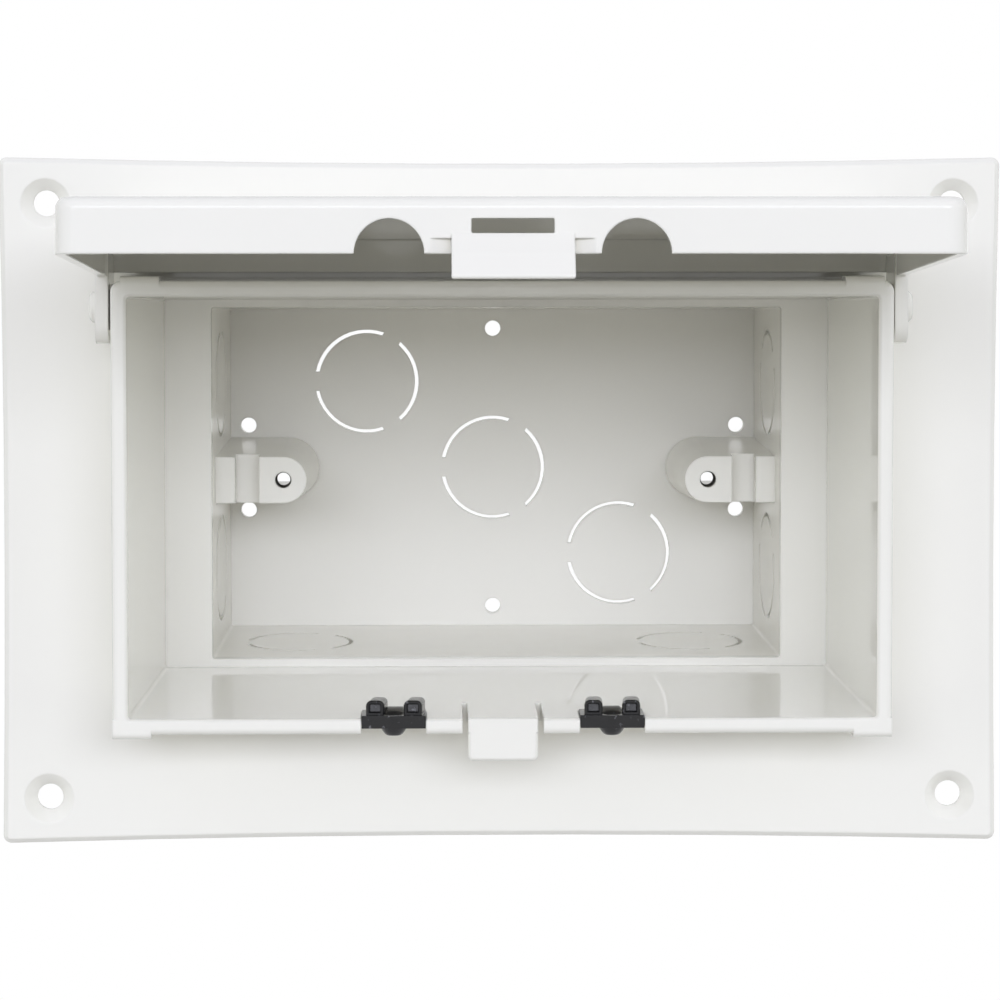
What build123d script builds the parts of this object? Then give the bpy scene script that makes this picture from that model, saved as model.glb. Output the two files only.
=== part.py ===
from build123d import *
import os
from math import radians, tan

# Recessed weatherproof wall box with a flip-up lid, in millimetres.
# X runs to the right, Y runs into the wall and Z runs up.
# The origin is the centre of the flange's back face, which lies on the wall.

# Flange
flange_width = 185.0
flange_height = 127.4
flange_thickness = 3.0
flange_bow_long = 1.2  # how far moulding shrinkage draws the long edges in
flange_bow_short = 0.6
flange_corner_radius = 1.5
flange_bevel = 0.9
screw_inset_x = 8.65
screw_inset_z = 8.5
screw_hole_diameter = 4.8
screw_head_diameter = 9.2

# Recess and the rim that stands round its mouth
recess_rise = 0.6  # how far the recess's axis lies above the flange's centre
recess_width = 134.8
recess_height = 76.0
recess_depth = 55.0
recess_side_draft = 2.9
recess_top_draft = 2.1
recess_corner_radius = 0.6
rim_wall = 2.8
rim_projection = 21.2
rim_corner_radius = 2.0
rim_edge_radius = 1.2
rim_mouth_bevel = 0.45
rim_pad_length = 7.0
rim_pad_depth = 6.0
rim_pad_height = 0.8
rim_pad_top_inset = 1.8
wall = 2.4

# Inner box behind the ledge
ledge_side = 9.0
ledge_top = 1.6
box_depth = 40.0
box_draft = 2.2
box_corner_radius = 0.5
fixing_hole_diameter = 3.2
fixing_inset_x = 3.7
fixing_inset_z = 4.1
fixing_pitch_z = 17.5

# Knockouts
knockout_diameter = 21.4
knockout_slot = 0.75
knockout_bridge = 3.9
knockout_pitch_x = 26.0
knockout_pitch_z = 17.8
knockout_end_inset = 15.6
knockout_side_offset = 18.5
knockout_bridge_angles = (60, 180, 300)

# Lugs for the wiring device, with a threaded bush in each
lug_spacing = 84.0
lug_setback = 8.0
lug_radius = 4.6
lug_draft = 3.0
lug_plate = 1.6
lug_hole_diameter = 3.2
lug_channel_offset = 7.15
lug_channel_width = 4.7
lug_channel_depth = 4.0
lug_skin = 1.8
bush_diameter = 6.4
bush_length = 3.6
bush_bore = 3.0
bush_lead_in = 0.3
bush_clearance = 0.05

# Latch tongue at the middle of the lower rim
tongue_width = 12.6
tongue_slit = 1.0
tongue_length = 16.0
tongue_drop = 4.95
tongue_setback = 0.45
tongue_thickness = 1.85
tongue_corner_radius = 1.0
tongue_bevel = 0.45

# Cord seals in the lower rim
seal_spacing = 39.4
seal_width = 11.7
seal_depth = 8.0
seal_clearance = 0.1
seal_bar_height = 2.3
seal_bar_rise = 0.6  # how far the bar stands above the rim's inner face
seal_horn_width = 3.1
seal_horn_inset = 0.8
seal_horn_height = 2.9
seal_horn_depth = 6.2
seal_horn_radius = 0.8
seal_socket_wall = 0.55
seal_socket_depth = 0.8
seal_socket_tilt = 12.0
seal_bar_bevel = 0.3
seal_saddle_height = 1.5
seal_saddle_setback = 2.6
seal_cone_setback = 3.2
seal_cone_radius = 3.4
seal_cone_tip_radius = 1.2
seal_cone_drop = 1.5
seal_well_radius = 0.8
seal_membrane = 0.8

# Lid
lid_face = 2.0
lid_wall = 1.7
lid_standoff = 1.4
lid_skirt_depth = 9.2
lid_top_cutback = 1.2
lid_side_clearance = 1.0
lid_top_clearance = 0.95
lid_bottom_clearance = 0.75
lid_corner_radius = 3.5
lid_edge_radius = 1.8
lid_open_angle = 94.0
arch_radius = 5.6
slot_clearance_x = 0.3
slot_clearance_y = 0.25
slot_corner_radius = 0.25
tab_width = 19.6
tab_reach = 4.2
tab_thickness = 2.2
tab_flare = 2.4
tab_edge_radius = 0.4
scoop_length = 3.4
scoop_rise = 2.4
scoop_depth = 1.4

# Hinge: stub pins on the rim, ears on the lid
pivot_setback = 11.2
pivot_drop = 5.0
pin_diameter = 5.6
pin_clearance = 0.1
pin_end = 1.4
pin_chamfer = 0.5
pin_collar_diameter = 8.4
pin_collar_height = 0.6
ear_gap = 0.15
ear_thickness = 2.4
ear_half_width = 6.0
ear_reach = 6.7
ear_root = 9.5
ear_end_radius = 3.5

# Derived positions
overshoot = 1.0
from_base = (Align.CENTER, Align.CENTER, Align.MIN)
from_top = (Align.CENTER, Align.CENTER, Align.MAX)
rim_front = -(flange_thickness + rim_projection)
ledge_y = rim_front + recess_depth
box_back = ledge_y + box_depth
rim_half_x = recess_width / 2 + rim_wall
rim_half_z = recess_height / 2 + rim_wall
lug_y = ledge_y + lug_setback
pivot_y = rim_front + pivot_setback
pivot_z = rim_half_z - pivot_drop
lid_front = rim_front - lid_standoff - lid_face
skirt_edge = lid_front + lid_skirt_depth
lid_half_x = rim_half_x + lid_side_clearance + lid_wall
lid_top = rim_half_z + rim_pad_height + lid_top_clearance + lid_wall
lid_bottom = -(rim_half_z + rim_pad_height + lid_bottom_clearance + lid_wall)
tongue_front = rim_front + tongue_setback
tongue_back = tongue_front + tongue_thickness
tongue_bottom = -(rim_half_z + tongue_drop)


def section(y):
    """Plane across the box at depth y, with X to the right and Z up."""
    return Plane.XZ.offset(-y)


def recess_size(y):
    """Width and height of the recess at depth y."""
    run = y - rim_front
    width = recess_width - 2 * run * tan(radians(recess_side_draft))
    height = recess_height - 2 * run * tan(radians(recess_top_draft))
    return width, height


def box_size(y):
    """Width and height of the inner box at depth y."""
    width, height = recess_size(ledge_y)
    inset = (y - ledge_y) * tan(radians(box_draft))
    return width - 2 * (ledge_side + inset), height - 2 * (ledge_top + inset)


def rounded_section(y, size, grow, radius):
    """Rounded rectangle at depth y, grown on every side."""
    return section(y) * RectangleRounded(size[0] + 2 * grow, size[1] + 2 * grow, radius + grow)


def drafted_block(size_at, near, far, grow, radius):
    """Tapered block between two depths, grown on every side by a wall."""
    (x_near, z_near), (x_far, z_far) = [[side / 2 + grow for side in size_at(y)] for y in (near, far)]
    plan = Polyline((-x_near, near), (x_near, near), (x_far, far), (-x_far, far), close=True)
    side = Polyline((near, -z_near), (near, z_near), (far, z_far), (far, -z_far), close=True)
    block = extrude(make_face(plan), flange_height, both=True)
    block &= extrude(Plane.YZ * make_face(side), flange_width, both=True)
    corners = [edge for edge in block.edges() if abs(edge.tangent_at(0).Y) > 0.9]
    return fillet(corners, radius + grow)


def span_box(low, high):
    """Box between two corners."""
    size = [b - a for a, b in zip(low, high)]
    centre = [(a + b) / 2 for a, b in zip(low, high)]
    return Pos(*centre) * Box(*size)


def flange():
    x, z = flange_width / 2, flange_height / 2
    outline = make_face(
        [
            ThreePointArc((-x, z), (0, z - flange_bow_long), (x, z)),
            ThreePointArc((x, z), (x - flange_bow_short, 0), (x, -z)),
            ThreePointArc((x, -z), (0, -z + flange_bow_long), (-x, -z)),
            ThreePointArc((-x, -z), (-x + flange_bow_short, 0), (-x, z)),
        ]
    )
    outline = fillet(outline.vertices(), flange_corner_radius)
    plate = extrude(section(0) * outline, flange_thickness)
    return chamfer(plate.faces().sort_by(Axis.Y)[0].edges(), flange_bevel)


def screw_holes():
    """Countersunk holes near the flange's corners."""
    spacing_x = flange_width - 2 * screw_inset_x
    spacing_z = flange_height - 2 * screw_inset_z
    head_depth = (screw_head_diameter - screw_hole_diameter) / 2
    shank = Cylinder(screw_hole_diameter / 2, 4 * flange_thickness)
    head = Cone(screw_hole_diameter / 2, screw_head_diameter / 2, head_depth, align=from_top)
    hole = section(-flange_thickness) * (shank + head)
    return [Pos(x, 0, z - recess_rise) * hole for x, _, z in grid_points(spacing_x, spacing_z)]


def grid_points(spacing_x, spacing_z):
    """Four corners of a rectangle centred on the box's axis."""
    return [(sx * spacing_x / 2, 0, sz * spacing_z / 2) for sx in (-1, 1) for sz in (-1, 1)]


def rim():
    """Collar round the mouth, with a pad at each end of its long sides."""
    outline = RectangleRounded(2 * rim_half_x, 2 * rim_half_z, rim_corner_radius)
    collar = extrude(section(0) * outline, -rim_front)
    collar = fillet(collar.faces().sort_by(Axis.Y)[0].edges(), rim_edge_radius)
    pad_profile = Rectangle(rim_pad_depth, rim_wall + rim_pad_height, align=(Align.MIN, Align.MAX))
    pad_corner = pad_profile.vertices().group_by(Axis.Y)[-1].sort_by(Axis.X)[0]
    pad_profile = fillet(pad_corner, rim_edge_radius)
    pad = extrude(Plane.YZ * pad_profile, rim_pad_length)
    corner_x = rim_half_x - rim_pad_length
    upper = Pos(corner_x - rim_pad_top_inset, rim_front, rim_half_z + rim_pad_height) * pad
    lower = mirror(Pos(corner_x, rim_front, rim_half_z + rim_pad_height) * pad, Plane.XY)
    for raised in (upper, lower):
        collar += [raised, mirror(raised, Plane.YZ)]
    return collar


def mouth_bevel():
    """Flare that breaks the edge round the recess's mouth."""
    near, far = rim_front - overshoot, rim_front + rim_mouth_bevel
    wide = rounded_section(near, recess_size(rim_front), rim_mouth_bevel + overshoot, recess_corner_radius)
    return loft([wide, rounded_section(far, recess_size(far), 0, recess_corner_radius)], ruled=True)


def hinge_pins():
    """Stub pins on short collars, one on each side of the rim."""
    ear_outer = pin_collar_height + ear_gap + ear_thickness
    pin_length = ear_outer + pin_end
    pin = Cylinder(pin_diameter / 2, pin_length + rim_wall, align=from_base)
    pin = chamfer(pin.edges().sort_by(Axis.Z)[-1], pin_chamfer)
    boss_length = pin_collar_height + rim_wall / 2
    boss = Cylinder(pin_collar_diameter / 2, boss_length, align=from_base)
    pin = Pos(0, 0, -rim_wall) * pin + Pos(0, 0, -rim_wall / 2) * boss
    right = Plane(origin=(rim_half_x, pivot_y, pivot_z), z_dir=(1, 0, 0)) * pin
    return right, mirror(right, Plane.YZ)


def lug_outline(y, radius, outer_x):
    """Round-ended outline on the right-hand side wall, at depth y."""
    x = lug_spacing / 2
    return section(y) * make_face(
        [
            Line((outer_x, radius), (x, radius)),
            ThreePointArc((x, radius), (x - radius, 0), (x, -radius)),
            Line((x, -radius), (outer_x, -radius)),
            Line((outer_x, -radius), (outer_x, radius)),
        ]
    )


def lug_tower():
    """Column from the back wall up to the lug's face, cored from behind."""
    growth = (box_back - lug_y) * tan(radians(lug_draft))
    wall_x = box_size(lug_y)[0] / 2 + wall / 2
    base_x = box_size(box_back)[0] / 2 + wall / 2
    tower = loft(
        [
            lug_outline(lug_y, lug_radius, wall_x),
            lug_outline(box_back + wall / 2, lug_radius + growth, base_x),
        ]
    )
    channel_x = lug_spacing / 2 + lug_channel_offset
    half = lug_channel_width / 2
    channel = span_box(
        (channel_x - half, lug_y - overshoot, -2 * lug_radius),
        (channel_x + half, lug_y + lug_channel_depth, 2 * lug_radius),
    )
    return tower - channel


def lug_core():
    """Hollow behind the lug: screw hole, bush pocket and open core."""
    bush_front = lug_y + lug_plate
    core_front = bush_front + bush_length
    back_face = box_back + wall + overshoot
    core_radius = lug_radius + (core_front - lug_y) * tan(radians(lug_draft)) - lug_skin
    core_x = box_size(box_back)[0] / 2 - wall / 2
    core = extrude(lug_outline(core_front, core_radius, core_x), core_front - back_face)
    hole = lug_cylinder(lug_hole_diameter / 2, lug_y - overshoot, bush_front + overshoot)
    pocket = lug_cylinder(bush_diameter / 2, bush_front, core_front + overshoot)
    return core + hole + pocket


def lug_cylinder(radius, near, far):
    """Cylinder on the right-hand lug's axis between two depths."""
    solid = Cylinder(radius, far - near, align=from_top)
    return Pos(lug_spacing / 2, 0, 0) * (section(near) * solid)


def lug_bush():
    """Threaded steel bush pressed in behind the right-hand lug's plate."""
    near = lug_y + lug_plate
    radius = bush_diameter / 2 - bush_clearance
    bush = lug_cylinder(radius, near, near + bush_length)
    bush -= lug_cylinder(bush_bore / 2, near - overshoot, near + bush_length + overshoot)
    mouth = bush.faces().sort_by(Axis.Y)[0].inner_wires()[0]
    return chamfer(mouth.edges(), bush_lead_in)


def knockout_slots():
    """Broken ring that leaves a disc held by three bridges."""
    outer = knockout_diameter / 2
    ring = Circle(outer) - Circle(outer - knockout_slot)
    for angle in knockout_bridge_angles:
        ring -= Rot(0, 0, angle) * (Pos(outer, 0) * Rectangle(outer, knockout_bridge))
    return extrude(ring, 2 * wall, both=True)


def knockouts():
    """Slots in the back, top, bottom and side walls of the inner box."""
    slots = knockout_slots()
    middle = (ledge_y + box_back) / 2
    width, height = box_size(middle)
    back = section(box_back + wall / 2)
    cuts = []
    for step in (-1, 0, 1):
        cuts.append(Pos(step * knockout_pitch_x, 0, -step * knockout_pitch_z) * (back * slots))
    for side in (-1, 1):
        end_x = side * (width / 2 - knockout_end_inset)
        for top in (-1, 1):
            cuts.append(Pos(end_x, middle, top * (height + wall) / 2) * slots)
            flank = Plane(origin=(side * (width + wall) / 2, middle, 0), z_dir=(side, 0, 0))
            cuts.append(Pos(0, 0, top * knockout_side_offset) * (flank * slots))
    return cuts


def fixing_holes():
    """Small round holes through the back wall."""
    width, height = box_size(box_back)
    drill = section(box_back) * Cylinder(fixing_hole_diameter / 2, 4 * wall)
    places = grid_points(width - 2 * fixing_inset_x, fixing_pitch_z)
    places += [(0, 0, side * (height / 2 - fixing_inset_z)) for side in (-1, 1)]
    return [Pos(*place) * drill for place in places]


def tongue_cuts():
    """Slits that free the tongue, and the step at its front end."""
    half = tongue_width / 2
    low = -(rim_half_z + overshoot)
    high = -recess_size(rim_front + tongue_length)[1] / 2 + overshoot
    front = rim_front - overshoot
    slit_end = rim_front + tongue_length
    cuts = [
        span_box((half, front, low), (half + tongue_slit, slit_end, high)),
        span_box((-half - tongue_slit, front, low), (-half, slit_end, high)),
        span_box((-half - tongue_slit, front, low), (half + tongue_slit, tongue_front, high)),
    ]
    return cuts


def tongue_hook():
    """Catch that hangs from the tongue's front end."""
    top = -recess_height / 2 - rim_wall / 2
    outline = span_rectangle(-tongue_width / 2, tongue_width / 2, tongue_bottom, top)
    outline = fillet(outline.vertices().group_by(Axis.Y)[0], tongue_corner_radius)
    hook = extrude(section(tongue_back) * outline, tongue_thickness)
    front_edges = hook.faces().sort_by(Axis.Y)[0].edges().sort_by(Axis.Z)
    return chamfer(front_edges[:3], tongue_bevel)


def seal_notches():
    """Openings in the lower rim that the cord seals sit in."""
    high = -recess_size(rim_front + seal_depth)[1] / 2 + overshoot
    half = seal_width / 2
    notch = span_box(
        (-half, rim_front - overshoot, -(rim_half_z + overshoot)),
        (half, rim_front + seal_depth, high),
    )
    return [Pos(side * seal_spacing / 2, 0, 0) * notch for side in (-1, 1)]


def enclosure():
    """One moulding: flange, rim, recess, inner box, lugs, pins and tongue."""
    body = Pos(0, 0, -recess_rise) * flange() + rim()
    body += drafted_block(recess_size, 0, ledge_y + wall, wall, recess_corner_radius)
    body += drafted_block(box_size, ledge_y, box_back + wall, wall, box_corner_radius)
    body -= drafted_block(recess_size, rim_front - overshoot, ledge_y, 0, recess_corner_radius)
    body -= mouth_bevel()
    body -= drafted_block(box_size, ledge_y - overshoot, box_back, 0, box_corner_radius)
    tower, core = lug_tower(), lug_core()
    body += [tower, mirror(tower, Plane.YZ)]
    body += hinge_pins()
    body -= [core, mirror(core, Plane.YZ)]
    body -= screw_holes() + knockouts() + fixing_holes()
    body -= tongue_cuts() + seal_notches()
    return body + tongue_hook()


def cord_seal():
    """Rubber cord seal: bar, two horns, saddle and a cone that points down."""
    half = seal_width / 2 - seal_clearance
    bar_top = -recess_height / 2 + seal_bar_rise
    bar_low = bar_top - seal_bar_height
    front = rim_front + seal_clearance
    back = rim_front + seal_depth - seal_clearance
    seal = span_box((-half, front, bar_low), (half, back, bar_top))
    seal = chamfer(seal.edges().group_by(Axis.Y)[0].sort_by(Axis.Z)[-1], seal_bar_bevel)
    saddle_front = rim_front + seal_saddle_setback
    seal += span_box((-half, saddle_front, bar_low), (half, back, bar_top + seal_saddle_height))
    horn = seal_horn()
    for x in (seal_horn_inset - half, half - seal_horn_inset - seal_horn_width):
        seal += Pos(x, front + seal_clearance, bar_top) * horn
    cone_height = seal_bar_height + seal_cone_drop
    cone_at = Pos(0, rim_front + seal_cone_setback, bar_top)
    seal += cone_at * Cone(seal_cone_tip_radius, seal_cone_radius, cone_height, align=from_top)
    return seal - cone_at * Cylinder(seal_well_radius, cone_height - seal_membrane, align=from_top)


def seal_horn():
    """Round-topped horn with a shallow square socket in its front, its floor tilted up."""
    outline = span_rectangle(0, seal_horn_width, -overshoot, seal_horn_height)
    top_corners = outline.vertices().group_by(Axis.Y)[-1]
    outline = fillet(top_corners, seal_horn_radius)
    socket = span_rectangle(
        seal_socket_wall, seal_horn_width - seal_socket_wall, 0, seal_horn_height - seal_socket_wall
    )
    horn = extrude(section(0) * outline, -seal_horn_depth)
    floor = Plane(origin=(0, seal_socket_depth, 0), z_dir=(0, -1, 0)).rotated((-seal_socket_tilt, 0, 0))
    cut = extrude(section(-overshoot) * socket, -2 * seal_horn_depth)
    return horn - split(cut, bisect_by=floor, keep=Keep.TOP)


def lid_shell():
    """Shallow cap with a skirt all round, shorter along the hinge side."""
    height = lid_top - lid_bottom
    middle = (lid_top + lid_bottom) / 2
    outline = RectangleRounded(2 * lid_half_x, height, lid_corner_radius)
    shell = extrude(section(skirt_edge) * (Pos(0, middle) * outline), lid_skirt_depth)
    shell = fillet(shell.faces().sort_by(Axis.Y)[0].edges(), lid_edge_radius)
    hollow = RectangleRounded(
        2 * (lid_half_x - lid_wall), height - 2 * lid_wall, lid_corner_radius - lid_wall
    )
    hollow_depth = lid_skirt_depth - lid_face + overshoot
    shell -= extrude(section(skirt_edge + overshoot) * (Pos(0, middle) * hollow), hollow_depth)
    shell -= span_box(
        (-lid_half_x + lid_wall, skirt_edge - lid_top_cutback, rim_half_z),
        (lid_half_x - lid_wall, skirt_edge + overshoot, lid_top + overshoot),
    )
    return shell


def lid_cuts():
    """Cord arches, the slot for the latch tongue and a scoop each side of the tab."""
    through = 2 * lid_wall
    at_edge = Pos(0, skirt_edge, lid_bottom + lid_wall / 2)
    arch = at_edge * Cylinder(arch_radius, through)
    cuts = [Pos(side * seal_spacing / 2, 0, 0) * arch for side in (-1, 1)]
    slot = RectangleRounded(
        tongue_width + 2 * slot_clearance_x, tongue_thickness + 2 * slot_clearance_y, slot_corner_radius
    )
    slot_y = (tongue_front + tongue_back) / 2
    cuts.append(extrude(Pos(0, slot_y, lid_bottom + lid_wall / 2) * slot, through / 2, both=True))
    scoop_profile = make_face(
        Polyline(
            (tab_width / 2, lid_bottom - overshoot),
            (tab_width / 2 + scoop_length, lid_bottom - overshoot),
            (tab_width / 2 + scoop_length, lid_bottom),
            (tab_width / 2, lid_bottom + scoop_depth),
            close=True,
        )
    )
    scoop = extrude(section(skirt_edge + overshoot) * scoop_profile, scoop_rise + overshoot)
    return cuts + [scoop, mirror(scoop, Plane.YZ)]


def finger_tab():
    """Flared lip below the slot, to lift the lid by."""
    root = tongue_back + slot_clearance_y
    tip = skirt_edge + tab_reach
    outer = lid_bottom - tab_thickness
    profile = Plane.YZ * make_face(
        Polyline(
            (root, lid_bottom + lid_wall / 2),
            (skirt_edge - lid_wall / 2, lid_bottom + lid_wall / 2),
            (tip, lid_bottom - tab_flare),
            (tip, outer - tab_flare),
            (skirt_edge, outer),
            (root, lid_bottom),
            close=True,
        )
    )
    tab = extrude(profile, tab_width / 2, both=True)
    tip_face = tab.faces().sort_by(Axis.Y)[-1]
    return fillet(tip_face.edges(), tab_edge_radius)


def hinge_ear():
    """Right-hand ear, proud of the side skirt, with its pivot hole."""
    profile = span_rectangle(-ear_root, ear_reach, -ear_half_width, ear_half_width)
    far_corners = profile.vertices().group_by(Axis.X)[-1]
    profile = fillet(far_corners, ear_end_radius)
    profile -= Circle(pin_diameter / 2 + pin_clearance)
    inner_x = rim_half_x + pin_collar_height + ear_gap
    at_pivot = Pos(inner_x, pivot_y, pivot_z)
    return extrude(at_pivot * (Plane.YZ * profile), ear_thickness)


def span_rectangle(left, right, low, high):
    """Rectangle between two corners."""
    return Pos((left + right) / 2, (low + high) / 2) * Rectangle(right - left, high - low)


def lid():
    """Lid drawn closed, then swung up to where it rests open."""
    cap = lid_shell() + finger_tab()
    ear = hinge_ear()
    cap += [ear, mirror(ear, Plane.YZ)]
    cap -= lid_cuts()
    hinge_line = Axis((0, pivot_y, pivot_z), (1, 0, 0))
    return cap.rotate(hinge_line, -lid_open_angle)


def all_parts():
    bush = lug_bush()
    seal = cord_seal()
    return {
        "enclosure": enclosure(),
        "lid": lid(),
        "cord_seal_left": Pos(-seal_spacing / 2, 0, 0) * seal,
        "cord_seal_right": Pos(seal_spacing / 2, 0, 0) * seal,
        "lug_bush_left": mirror(bush, Plane.YZ),
        "lug_bush_right": bush,
    }


os.makedirs("parts", exist_ok=True)
for name, shape in all_parts().items():
    export_step(Pos(0, 0, recess_rise) * shape, f"parts/{name}.step")
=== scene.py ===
from math import cos, hypot, pi, radians, sin, sqrt

import bmesh
import bpy
from mathutils import Matrix, Vector


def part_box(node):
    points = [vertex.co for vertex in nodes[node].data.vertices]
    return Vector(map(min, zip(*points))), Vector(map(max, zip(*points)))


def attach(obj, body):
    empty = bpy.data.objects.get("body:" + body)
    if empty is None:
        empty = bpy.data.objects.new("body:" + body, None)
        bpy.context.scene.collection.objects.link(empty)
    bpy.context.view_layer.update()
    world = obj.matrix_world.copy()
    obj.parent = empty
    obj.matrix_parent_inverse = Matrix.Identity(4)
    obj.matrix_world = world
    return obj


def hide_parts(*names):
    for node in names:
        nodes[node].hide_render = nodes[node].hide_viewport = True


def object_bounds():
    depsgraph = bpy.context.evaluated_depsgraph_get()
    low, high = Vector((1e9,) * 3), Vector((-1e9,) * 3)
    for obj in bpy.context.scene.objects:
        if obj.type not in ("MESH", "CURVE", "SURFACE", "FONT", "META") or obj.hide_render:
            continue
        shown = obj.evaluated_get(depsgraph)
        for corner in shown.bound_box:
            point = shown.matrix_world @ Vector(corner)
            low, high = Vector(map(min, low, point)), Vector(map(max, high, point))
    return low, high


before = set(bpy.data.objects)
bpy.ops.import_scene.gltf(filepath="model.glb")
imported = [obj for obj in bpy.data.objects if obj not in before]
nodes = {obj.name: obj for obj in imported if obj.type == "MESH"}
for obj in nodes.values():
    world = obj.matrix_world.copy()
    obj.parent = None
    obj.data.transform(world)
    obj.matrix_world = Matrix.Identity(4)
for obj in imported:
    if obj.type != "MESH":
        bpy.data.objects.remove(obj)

cad_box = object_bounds()

# Camera, in the frame's metres. The photo's verticals hardly converge, so the lens is shifted.
CAMERA_PLACE = (-0.01411, -0.63658, 0.05587)
CAMERA_TARGET = (-0.00011, -0.003, 0.02254)
CAMERA_LENS = 123.4
CAMERA_SHIFT_Y = -0.12
CAMERA_NEAR = 0.01

# Light: softboxes by name, azimuth (0 is the front, 90 the right), elevation, distance, size, power, colour
# and use, all aimed at the origin. Most only light surfaces. The last one only shows as a highlight.
COOL = (0.863, 0.887, 1.0)
WARM = (0.945, 1.0, 0.935)
PALE = (0.93, 0.945, 1.0)
SOFTBOXES = (
    ("front_softbox", 0.0, 15.0, 3.2, (3.6, 0.9), 61.0, COOL, "lights"),
    ("left_softbox", -68.0, 2.0, 1.6, (0.8, 0.8), 5.0, WARM, "lights"),
    ("right_softbox", 68.0, 2.0, 1.6, (0.8, 0.8), 5.0, WARM, "lights"),
    ("back_softbox", 180.0, 4.0, 3.2, (3.6, 0.9), 60.0, PALE, "lights"),
    ("low_softbox", 0.0, -76.0, 0.21, (0.4, 0.1), 0.075, PALE, "lights"),
    ("sheen_softbox", 0.0, 16.0, 3.2, (3.6, 0.5), 14.0, COOL, "shows"),
)
SKY_FILL = 0.63
SKY_BLEND = 0.2
BACK_SHARE = 0.25
FILL_TINT = (0.92, 0.915, 1.0)

# Floor: white where it is seen, with the object's soft shadow kept near it
FLOOR_DROP = 0.16
FLOOR_SIZE = 12.0
FLOOR_BOUNCE = (0.36, 0.345, 0.30)
FLOOR_ROUGHNESS = 0.9
SHADOW_PALE = (0.95, 0.95, 0.95)
SHADOW_SHARE = 0.30
SHADOW_REACH = (0.32, 0.52)

# Finishes: noises by scale per metre and detail, roughness from low to high, bumps by strength and distance
BEVEL_SAMPLES = 6

# White plastic: faint clouds of colour, changing gloss and a fine grain
WHITE = (0.915, 0.904, 0.842)
WHITE_ROUGHNESS = (0.05, 0.08)
# The lid is the same plastic. Its white is made a little darker, as painted shade that holds down the extra
# light falling on the lid.
LID_SHADED_WHITE = (0.900, 0.889, 0.830)
LID_ROUGHNESS = (0.06, 0.09)
CLOUD_NOISE, CLOUD_CHANGE = (28.0, 3.0), 0.010
GLOSS_NOISE = (60.0, 2.0)
GRAIN_NOISE, GRAIN_BUMP = (2200.0, 2.0), (0.02, 0.00001)
EDGE_ROUNDING = 0.0005
PLASTIC_IOR = 1.5
COAT_ROUGHNESS = 0.03
COAT_WEIGHTS = (0.7, 0.0)  # outside and in the inner box
BOX_DEPTH = (0.030, 0.034)
BOX_DULLNESS = 0.16

# Black rubber: pale scuffs, patches of sheen and a moulded skin
RUBBER_BLACK = (0.009, 0.009, 0.010)
RUBBER_NOISE, RUBBER_CHANGE = (500.0, 3.0), 0.3
RUBBER_ROUGHNESS = (0.14, 0.26)
SHEEN_NOISE = (900.0, 3.0)
SCUFF_GREY = (0.16, 0.16, 0.17)
SCUFF_NOISE, SCUFF_LEVELS = (900.0, 6.0), (0.62, 0.72)
SKIN_NOISE, SKIN_BUMP = (1400.0, 4.0), (0.10, 0.00005)
SEAL_ROUNDING = 0.00025
RUBBER_IOR = 1.46

# Dark steel: uneven plating and turning marks
STEEL_DARK = (0.20, 0.19, 0.18)
STEEL_NOISE, STEEL_CHANGE = (800.0, 3.0), 0.25
STEEL_ROUGHNESS = (0.28, 0.45)
PLATING_NOISE = (1500.0, 2.0)
TURNING_NOISE, TURNING_BUMP = (4000.0, 2.0), (0.2, 0.00004)

# Cord seals, in place of their plain solids: a bar with a saddle and a well, a cone and two horns.
# The rings are radius and height for the cone, setback and inset for the horns.
SEAL_LENGTH = 0.0078
BAR_HEIGHT = 0.0023
BAR_CUTS = 24
SADDLE_RISE = 0.0006
SADDLE_START, SADDLE_END = 0.003, 0.0072
SADDLE_FLAT, SADDLE_HALF = 0.0016, 0.0024
WELL_DEPTH = 0.0012
WELL_FLOOR, WELL_RIM = 0.0008, 0.0020
CONE_SETBACK = 0.0026
CONE_TOP, CONE_LOW = 0.00289, 0.0026
CONE_RINGS = ((0.0023, 0.0006), (0.0025, 0.0001), (0.0020, -0.0008), (0.0016, -0.0013), (0.0013, -0.0015))
CONE_STEPS = 40
CAD_HORN_HEIGHT = 0.0029
HORN_WIDTH, HORN_HEIGHT, HORN_DEPTH = 0.0033, 0.0026, 0.0052
HORN_INSET = 0.0007
HORN_SETBACK = 0.0010
HORN_ROUND, HORN_LEAST_ROUND = 0.0010, 0.00015
HORN_ROUND_LOSS = 1.2
HORN_CORNER_STEP = 15
HORN_LIP = 0.0002
HORN_RINGS = (
    (HORN_DEPTH, 0.0001),
    (0.0003, 0.0),
    (0.0, HORN_LIP),
    (0.0, 0.0005),
    (0.0001, 0.0006),
    (0.0006, 0.0007),
)
SOCKET_TILT = 0.21
SEAL_LEAN = {"left": 0.0007, "right": 0.0003}
SEAL_WELD = 0.000002
SEAL_SHARP_ANGLE = 25

# Thread cut in the bushes' bores
BUSH_BORE_RADIUS = 0.0015
THREAD_PITCH = 0.00065
THREAD_DEPTH = 0.00017
THREAD_ROOT = 0.00004
THREAD_FOOT, THREAD_CREST = 0.42, 0.06  # half widths, as shares of the pitch
THREAD_STEPS = 28
THREAD_MARGIN = 0.0003


def aim(thing, target):
    """Turns a camera or lamp to face a point."""
    direction = Vector(target) - thing.location
    thing.rotation_euler = direction.to_track_quat("-Z", "Y").to_euler()


def link(thing):
    bpy.context.scene.collection.objects.link(thing)
    return thing


def new_material(name):
    """Material with its shader and node tree, ready for more nodes."""
    material = bpy.data.materials.new(name)
    material.use_nodes = True
    return material, material.node_tree, material.node_tree.nodes["Principled BSDF"]


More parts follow.
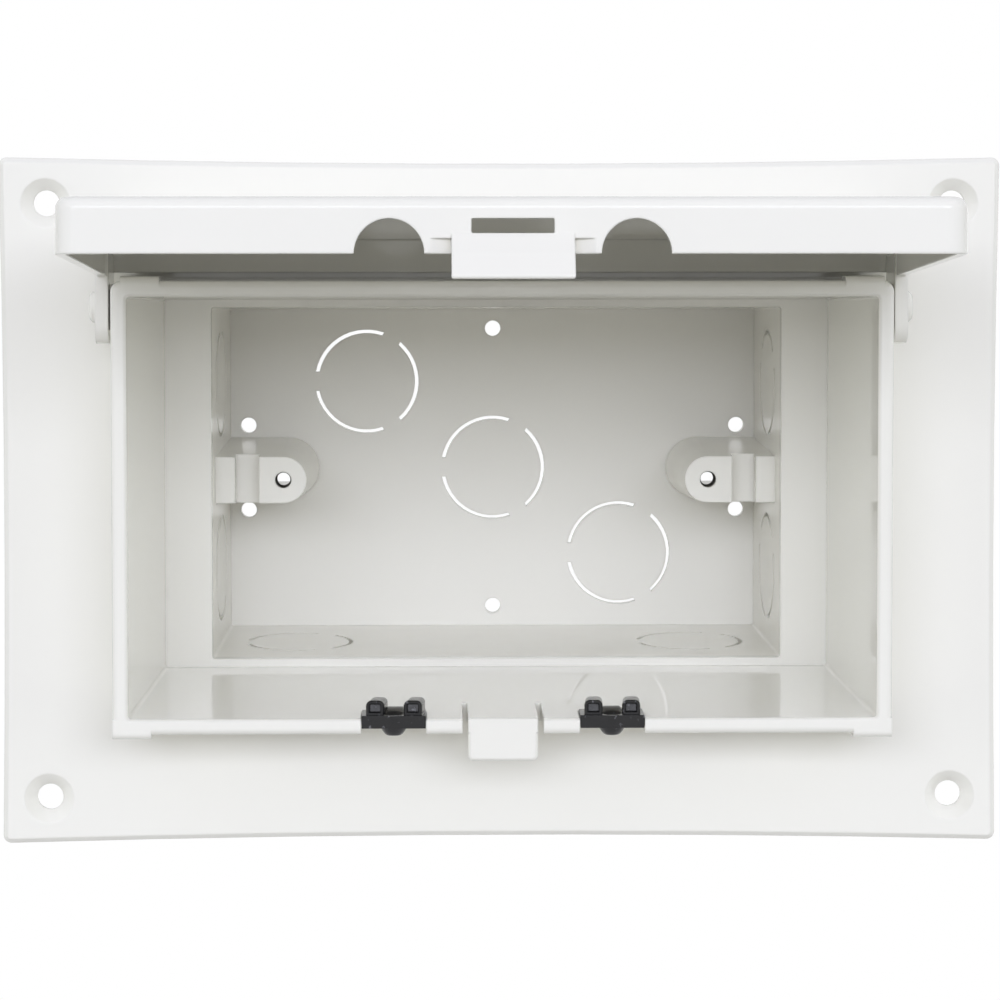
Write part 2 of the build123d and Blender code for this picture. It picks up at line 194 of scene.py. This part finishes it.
def noise(tree, scale, detail):
    """Noise that is fixed to the object."""
    coordinates = tree.nodes.new("ShaderNodeTexCoord")
    texture = tree.nodes.new("ShaderNodeTexNoise")
    texture.inputs["Scale"].default_value = scale
    texture.inputs["Detail"].default_value = detail
    tree.links.new(coordinates.outputs["Object"], texture.inputs["Vector"])
    return texture.outputs["Fac"]


def spread(tree, value, low, high, start=0.3, end=0.7):
    """Maps part of a value's range to another range."""
    remap = tree.nodes.new("ShaderNodeMapRange")
    remap.inputs["From Min"].default_value = start
    remap.inputs["From Max"].default_value = end
    remap.inputs["To Min"].default_value = low
    remap.inputs["To Max"].default_value = high
    tree.links.new(value, remap.inputs["Value"])
    return remap.outputs["Result"]


def tint(tree, value, colour, change):
    """Colour that drifts up and down by a small share."""
    mix = tree.nodes.new("ShaderNodeMix")
    mix.data_type = "RGBA"
    mix.inputs["A"].default_value = (*[c * (1 - change) for c in colour], 1)
    mix.inputs["B"].default_value = (*[min(c * (1 + change), 1) for c in colour], 1)
    tree.links.new(value, mix.inputs["Factor"])
    return mix.outputs["Result"]


def soft_edges(tree, radius):
    """Normals that round off sharp edges, as a mould leaves them."""
    node = tree.nodes.new("ShaderNodeBevel")
    node.samples = BEVEL_SAMPLES
    node.inputs["Radius"].default_value = radius
    return node.outputs["Normal"]


def bump(tree, height, strength, distance, normal=None):
    """Normals that follow a height, on top of other normals if there are any."""
    node = tree.nodes.new("ShaderNodeBump")
    node.inputs["Strength"].default_value = strength
    node.inputs["Distance"].default_value = distance
    tree.links.new(height, node.inputs["Height"])
    if normal:
        tree.links.new(normal, node.inputs["Normal"])
    return node.outputs["Normal"]


def depth_share(tree, start, end):
    """0 in front of one depth in the wall, 1 behind another."""
    coordinates = tree.nodes.new("ShaderNodeTexCoord")
    parts = tree.nodes.new("ShaderNodeSeparateXYZ")
    tree.links.new(coordinates.outputs["Object"], parts.inputs[0])
    return spread(tree, parts.outputs["Y"], 0.0, 1.0, start, end)


def moulded_plastic(name, colour, roughness):
    """Glossy moulded plastic with soft edges, duller in the inner box."""
    material, tree, shader = new_material(name)
    tree.links.new(tint(tree, noise(tree, *CLOUD_NOISE), colour, CLOUD_CHANGE), shader.inputs["Base Color"])
    inside = depth_share(tree, *BOX_DEPTH)
    dull = tree.nodes.new("ShaderNodeMath")
    dull.operation = "MULTIPLY_ADD"
    tree.links.new(inside, dull.inputs[0])
    dull.inputs[1].default_value = BOX_DULLNESS
    tree.links.new(spread(tree, noise(tree, *GLOSS_NOISE), *roughness), dull.inputs[2])
    tree.links.new(dull.outputs[0], shader.inputs["Roughness"])
    grain = bump(tree, noise(tree, *GRAIN_NOISE), *GRAIN_BUMP, soft_edges(tree, EDGE_ROUNDING))
    tree.links.new(grain, shader.inputs["Normal"])
    shader.inputs["IOR"].default_value = PLASTIC_IOR
    tree.links.new(spread(tree, inside, *COAT_WEIGHTS, 0.0, 1.0), shader.inputs["Coat Weight"])
    shader.inputs["Coat Roughness"].default_value = COAT_ROUGHNESS
    tree.links.new(grain, shader.inputs["Coat Normal"])
    return material


def seal_rubber():
    """Black rubber with soft edges and a few pale scuffs."""
    material, tree, shader = new_material("seal_rubber")
    scuffed = tree.nodes.new("ShaderNodeMix")
    scuffed.data_type = "RGBA"
    scuffs = spread(tree, noise(tree, *SCUFF_NOISE), 0.0, 1.0, *SCUFF_LEVELS)
    tree.links.new(scuffs, scuffed.inputs["Factor"])
    tree.links.new(tint(tree, noise(tree, *RUBBER_NOISE), RUBBER_BLACK, RUBBER_CHANGE), scuffed.inputs["A"])
    scuffed.inputs["B"].default_value = (*SCUFF_GREY, 1)
    tree.links.new(scuffed.outputs["Result"], shader.inputs["Base Color"])
    tree.links.new(spread(tree, noise(tree, *SHEEN_NOISE), *RUBBER_ROUGHNESS), shader.inputs["Roughness"])
    grain = bump(tree, noise(tree, *SKIN_NOISE), *SKIN_BUMP, soft_edges(tree, SEAL_ROUNDING))
    tree.links.new(grain, shader.inputs["Normal"])
    shader.inputs["IOR"].default_value = RUBBER_IOR
    return material


def bush_steel():
    """Dark plated steel with turning marks."""
    material, tree, shader = new_material("bush_steel")
    tree.links.new(tint(tree, noise(tree, *STEEL_NOISE), STEEL_DARK, STEEL_CHANGE), shader.inputs["Base Color"])
    tree.links.new(spread(tree, noise(tree, *PLATING_NOISE), *STEEL_ROUGHNESS), shader.inputs["Roughness"])
    tree.links.new(bump(tree, noise(tree, *TURNING_NOISE), *TURNING_BUMP), shader.inputs["Normal"])
    shader.inputs["Metallic"].default_value = 1.0
    return material


def dress(node_name, material):
    """Gives a CAD node its material."""
    for place in nodes[node_name].material_slots:
        place.material = material


def ease(value, start, end):
    """0 before start, 1 after end and a smooth rise between them."""
    share = min(max((value - start) / (end - start), 0.0), 1.0)
    return share * share * (3 - 2 * share)


def skin(mesh, rings):
    """Closed surface through rings of points, capped at both ends."""
    loops = [[mesh.verts.new(point) for point in ring] for ring in rings]
    count = len(loops[0])
    for one, two in zip(loops, loops[1:]):
        for here in range(count):
            after = (here + 1) % count
            mesh.faces.new((one[here], one[after], two[after], two[here]))
    mesh.faces.new(loops[0][::-1])
    mesh.faces.new(loops[-1])


def seal_bar(mesh, width):
    """Bar with a saddle and a well in its top, and the cone's swell in its front."""
    bmesh.ops.create_cube(mesh, size=1.0)
    bmesh.ops.subdivide_edges(mesh, edges=list(mesh.edges), cuts=BAR_CUTS, use_grid_fill=True)
    for vert in mesh.verts:
        across, deep, up = vert.co.x, vert.co.y + 0.5, vert.co.z + 0.5
        x, y = across * width, deep * SEAL_LENGTH
        middle = 1 - ease(abs(x), SADDLE_FLAT, SADDLE_HALF)
        saddle = SADDLE_RISE * ease(y, SADDLE_START, SADDLE_END) * middle
        well = WELL_DEPTH * (1 - ease(hypot(x, y - CONE_SETBACK), WELL_FLOOR, WELL_RIM))
        cone = CONE_LOW + (CONE_TOP - CONE_LOW) * up
        swell = max(sqrt(max(cone * cone - x * x, 0.0)) - CONE_SETBACK, 0.0)
        vert.co = (x, y - (1 - deep) * swell, up * (BAR_HEIGHT + saddle - well) - BAR_HEIGHT)


def seal_cone(mesh):
    """Blunt cone under the bar."""
    turns = [2 * pi * step / CONE_STEPS for step in range(CONE_STEPS)]
    skin(mesh, [
        [(radius * cos(turn), CONE_SETBACK + radius * sin(turn), height - BAR_HEIGHT) for turn in turns]
        for radius, height in CONE_RINGS
    ])


def seal_horn(mesh, low_x, lean):
    """Round-topped horn with a shallow square socket in its front. It leans a little, as soft rubber does."""
    corner = [radians(turn) for turn in range(0, 91, HORN_CORNER_STEP)]
    rings = []
    for setback, inset in HORN_RINGS:
        left, right, top = low_x + inset, low_x + HORN_WIDTH - inset, HORN_HEIGHT - inset
        low = inset - HORN_LIP if inset > HORN_LIP else -HORN_LIP
        radius = max(HORN_ROUND - HORN_ROUND_LOSS * inset, HORN_LEAST_ROUND)
        outline = [(left, low), (right, low)]
        outline += [(right - radius + radius * cos(a), top - radius + radius * sin(a)) for a in corner]
        outline += [(left + radius - radius * sin(a), top - radius + radius * cos(a)) for a in corner]
        tilt = SOCKET_TILT if setback == HORN_RINGS[-1][0] else 0.0
        shift = lean * setback / HORN_DEPTH
        rings.append([(x + shift, HORN_SETBACK + setback + tilt * z, z) for x, z in outline])
    skin(mesh, rings)


def solid(build, *values):
    """Loose object for one closed shape of a seal."""
    mesh = bmesh.new()
    build(mesh, *values)
    bmesh.ops.recalc_face_normals(mesh, faces=mesh.faces)
    data = bpy.data.meshes.new(build.__name__)
    mesh.to_mesh(data)
    mesh.free()
    return link(bpy.data.objects.new(build.__name__, data))


def joined(name, shapes):
    """One closed mesh from overlapping shapes. The shapes themselves are deleted."""
    first = shapes[0]
    for shape in shapes[1:]:
        union = first.modifiers.new(shape.name, "BOOLEAN")
        union.operation = "UNION"
        union.solver = "EXACT"
        union.object = shape
    whole = first.evaluated_get(bpy.context.evaluated_depsgraph_get())
    data = bpy.data.meshes.new_from_object(whole)
    data.name = name
    mesh = bmesh.new()
    mesh.from_mesh(data)
    bmesh.ops.remove_doubles(mesh, verts=mesh.verts, dist=SEAL_WELD)
    bmesh.ops.triangulate(mesh, faces=mesh.faces)
    bmesh.ops.dissolve_degenerate(mesh, edges=mesh.edges, dist=SEAL_WELD)
    mesh.to_mesh(data)
    mesh.free()
    for shape in shapes:
        bpy.data.meshes.remove(shape.data)
    return data


def mould_seal(side, material):
    """Rubber cord seal where its plain solid stands."""
    node = f"cord_seal_{side}"
    low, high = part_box(node)
    width = round(high[0] - low[0], 6)
    lean = SEAL_LEAN[side]
    data = joined(f"moulded_seal_{side}", [
        solid(seal_bar, width),
        solid(seal_cone),
        solid(seal_horn, HORN_INSET - width / 2, lean),
        solid(seal_horn, width / 2 - HORN_INSET - HORN_WIDTH, lean),
    ])
    place = ((low[0] + high[0]) / 2, high[1] - SEAL_LENGTH, high[2] - CAD_HORN_HEIGHT)
    data.transform(Matrix.Translation(place))
    data.polygons.foreach_set("use_smooth", [True] * len(data.polygons))
    data.set_sharp_from_angle(angle=radians(SEAL_SHARP_ANGLE))
    data.materials.clear()
    data.materials.append(material)
    seal = link(bpy.data.objects.new(f"moulded_seal_{side}", data))
    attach(seal, "body")
    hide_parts(node)


def cut_thread(side, material):
    """Helical ridge on the bore of one bush, closed at both ends."""
    low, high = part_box(f"lug_bush_{side}")
    centre_x, centre_z = (low[0] + high[0]) / 2, (low[2] + high[2]) / 2
    start, end = low[1] + THREAD_MARGIN, high[1] - THREAD_MARGIN
    root, crest = BUSH_BORE_RADIUS + THREAD_ROOT, BUSH_BORE_RADIUS - THREAD_DEPTH
    profile = (
        (root, -THREAD_FOOT * THREAD_PITCH),
        (crest, -THREAD_CREST * THREAD_PITCH),
        (crest, THREAD_CREST * THREAD_PITCH),
        (root, THREAD_FOOT * THREAD_PITCH),
    )
    corners = len(profile)
    steps = round((end - start) / THREAD_PITCH * THREAD_STEPS)
    points = []
    for step in range(steps + 1):
        angle = 2 * pi * step / THREAD_STEPS
        along = start + (end - start) * step / steps
        points += [
            (centre_x + radius * cos(angle), along + offset, centre_z + radius * sin(angle))
            for radius, offset in profile
        ]
    faces = []
    for step in range(steps):
        here = step * corners
        for corner in range(corners):
            after = (corner + 1) % corners
            faces.append((here + corner, here + corners + corner, here + corners + after, here + after))
    last = steps * corners
    faces.append(tuple(range(corners)))
    faces.append(tuple(range(last, last + corners))[::-1])
    mesh = bpy.data.meshes.new(f"bush_thread_{side}")
    mesh.from_pydata(points, [], faces)
    mesh.materials.append(material)
    thread = link(bpy.data.objects.new(f"bush_thread_{side}", mesh))
    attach(thread, "body")


def background_rays(tree):
    """1 where a ray comes from the camera, a reflection or through glass."""
    path = tree.nodes.new("ShaderNodeLightPath")
    seen = path.outputs["Is Camera Ray"]
    for kind in ("Is Glossy Ray", "Is Transmission Ray"):
        either = tree.nodes.new("ShaderNodeMath")
        either.operation = "MAXIMUM"
        tree.links.new(seen, either.inputs[0])
        tree.links.new(path.outputs[kind], either.inputs[1])
        seen = either.outputs[0]
    return seen


def light_world():
    """White where it is seen, and a dim fill from above and in front where it lights the object."""
    world = bpy.data.worlds.new("studio")
    bpy.context.scene.world = world
    world.use_nodes = True
    tree = world.node_tree
    coordinates = tree.nodes.new("ShaderNodeTexCoord")
    direction = tree.nodes.new("ShaderNodeSeparateXYZ")
    tree.links.new(coordinates.outputs["Generated"], direction.inputs[0])
    above = spread(tree, direction.outputs["Z"], 0.0, SKY_FILL, -SKY_BLEND, SKY_BLEND)
    behind = spread(tree, direction.outputs["Y"], 1.0, BACK_SHARE, -SKY_BLEND, SKY_BLEND)
    level = tree.nodes.new("ShaderNodeMath")
    level.operation = "MULTIPLY"
    tree.links.new(above, level.inputs[0])
    tree.links.new(behind, level.inputs[1])
    fill = tree.nodes["Background"]
    fill.inputs["Color"].default_value = (*FILL_TINT, 1)
    tree.links.new(level.outputs[0], fill.inputs["Strength"])
    seen = tree.nodes.new("ShaderNodeBackground")
    seen.inputs["Color"].default_value = (1, 1, 1, 1)
    mix = tree.nodes.new("ShaderNodeMixShader")
    tree.links.new(background_rays(tree), mix.inputs["Fac"])
    tree.links.new(fill.outputs[0], mix.inputs[1])
    tree.links.new(seen.outputs[0], mix.inputs[2])
    tree.links.new(mix.outputs[0], tree.nodes["World Output"].inputs["Surface"])


def lay_floor():
    """Pale floor below the object, white but for the soft shadow near it."""
    half = FLOOR_SIZE / 2
    level = cad_box[0][2] - FLOOR_DROP
    mesh = bpy.data.meshes.new("floor")
    corners = [(-half, -half, level), (half, -half, level), (half, half, level), (-half, half, level)]
    mesh.from_pydata(corners, [], [(0, 1, 2, 3)])
    floor = link(bpy.data.objects.new("floor", mesh))
    material, tree, shader = new_material("floor")
    shader.inputs["Base Color"].default_value = (*FLOOR_BOUNCE, 1)
    shader.inputs["Roughness"].default_value = FLOOR_ROUGHNESS
    shader.inputs["Specular IOR Level"].default_value = 0.0
    coordinates = tree.nodes.new("ShaderNodeTexCoord")
    flat = tree.nodes.new("ShaderNodeVectorMath")
    flat.operation = "MULTIPLY"
    flat.inputs[1].default_value = (1, 1, 0)
    tree.links.new(coordinates.outputs["Object"], flat.inputs[0])
    distance = tree.nodes.new("ShaderNodeVectorMath")
    distance.operation = "LENGTH"
    tree.links.new(flat.outputs["Vector"], distance.inputs[0])
    shade = spread(tree, distance.outputs["Value"], SHADOW_SHARE, 0.0, *SHADOW_REACH)
    pale = tree.nodes.new("ShaderNodeBsdfDiffuse")
    pale.inputs["Color"].default_value = (*SHADOW_PALE, 1)
    white = tree.nodes.new("ShaderNodeEmission")
    shown = tree.nodes.new("ShaderNodeMixShader")
    tree.links.new(shade, shown.inputs["Fac"])
    tree.links.new(white.outputs[0], shown.inputs[1])
    tree.links.new(pale.outputs[0], shown.inputs[2])
    mix = tree.nodes.new("ShaderNodeMixShader")
    tree.links.new(background_rays(tree), mix.inputs["Fac"])
    tree.links.new(shader.outputs[0], mix.inputs[1])
    tree.links.new(shown.outputs[0], mix.inputs[2])
    tree.links.new(mix.outputs[0], tree.nodes["Material Output"].inputs["Surface"])
    mesh.materials.append(material)


def hang_softboxes():
    """Area lamps round the object, none of them seen by the camera."""
    for name, azimuth, elevation, distance, size, power, colour, use in SOFTBOXES:
        around, up = radians(azimuth), radians(elevation)
        lamp = bpy.data.lights.new(name, "AREA")
        lamp.shape = "RECTANGLE"
        lamp.size, lamp.size_y = size
        lamp.energy = power
        lamp.color = colour
        thing = link(bpy.data.objects.new(name, lamp))
        direction = Vector((sin(around) * cos(up), -cos(around) * cos(up), sin(up)))
        thing.location = direction * distance
        thing.visible_camera = False
        thing.visible_diffuse = use == "lights"
        thing.visible_glossy = use == "shows"
        aim(thing, (0, 0, 0))


def place_camera():
    lens = bpy.data.cameras.new("camera")
    lens.lens = CAMERA_LENS
    lens.shift_y = CAMERA_SHIFT_Y
    lens.clip_start = CAMERA_NEAR
    camera = link(bpy.data.objects.new("camera", lens))
    camera.location = CAMERA_PLACE
    aim(camera, CAMERA_TARGET)
    bpy.context.scene.camera = camera


dress("enclosure", moulded_plastic("white_plastic", WHITE, WHITE_ROUGHNESS))
# The lid gets the darker copy of the white plastic: painted shade.
dress("lid", moulded_plastic("lid_plastic", LID_SHADED_WHITE, LID_ROUGHNESS))
rubber = seal_rubber()
steel = bush_steel()
for side in ("left", "right"):
    dress(f"cord_seal_{side}", rubber)
    mould_seal(side, rubber)
    dress(f"lug_bush_{side}", steel)
    cut_thread(side, steel)

light_world()
lay_floor()
hang_softboxes()
place_camera()
bpy.context.scene.view_settings.view_transform = "Standard"
